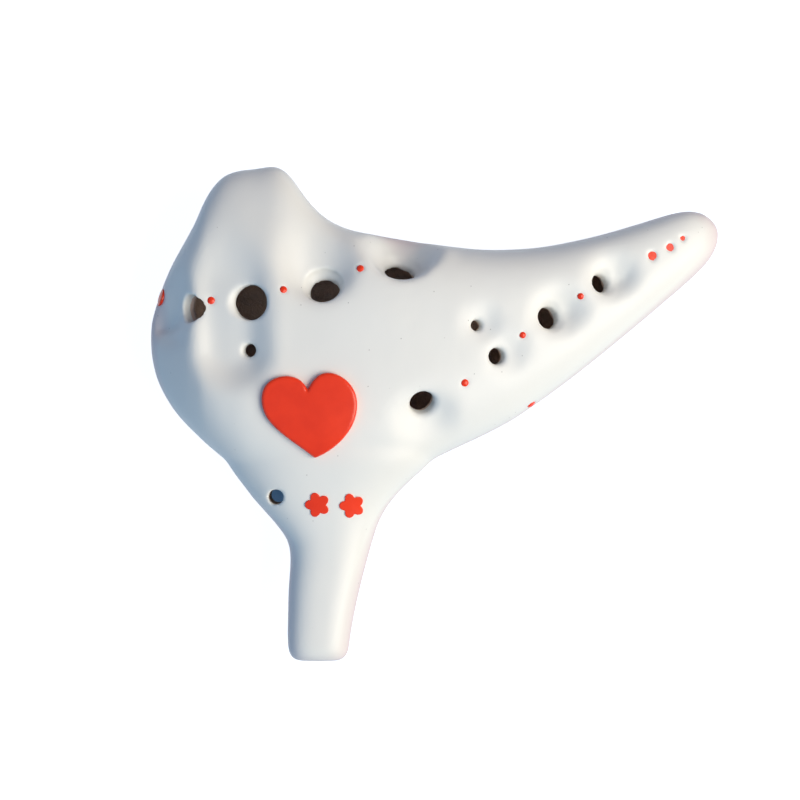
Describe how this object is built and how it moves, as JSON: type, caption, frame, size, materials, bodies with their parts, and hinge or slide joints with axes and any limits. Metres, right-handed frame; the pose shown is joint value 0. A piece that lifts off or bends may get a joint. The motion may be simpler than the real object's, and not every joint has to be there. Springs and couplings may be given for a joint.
{
  "type": "ocarina",
  "caption": "Sweet-potato ocarina in white glazed clay: hollow body, side mouthpiece with windway and window, finger fin, tone holes, raised red heart and red glaze dots.",
  "frame": {"origin": "on the flat rest patch of the belly, the lowest plane of the part", "axes": "+X along the body to the tail, +Y away from the player (the mouthpiece points to -Y), +Z out of the finger-hole side"},
  "size_m": [0.1701, 0.1477, 0.0455],
  "materials": {
    "white_glaze": "glossy",
    "red_glaze": "glossy"
  },
  "bodies": {
    "root": {"front_shell": "white_glaze", "back_shell": "white_glaze", "mouthpiece_upper": "white_glaze", "mouthpiece_lower": "white_glaze", "heart": "red_glaze", "dot_left_1": "red_glaze", "dot_left_2": "red_glaze", "dot_left_3": "red_glaze", "dot_right_1": "red_glaze", "dot_right_2": "red_glaze", "dot_right_3": "red_glaze", "dot_side_left": "red_glaze", "dot_side_right": "red_glaze", "tail_dot_large": "red_glaze", "tail_dot_medium": "red_glaze", "tail_dot_small": "red_glaze", "blossom_left": "red_glaze", "blossom_right": "red_glaze"}
  },
  "joints": []
}
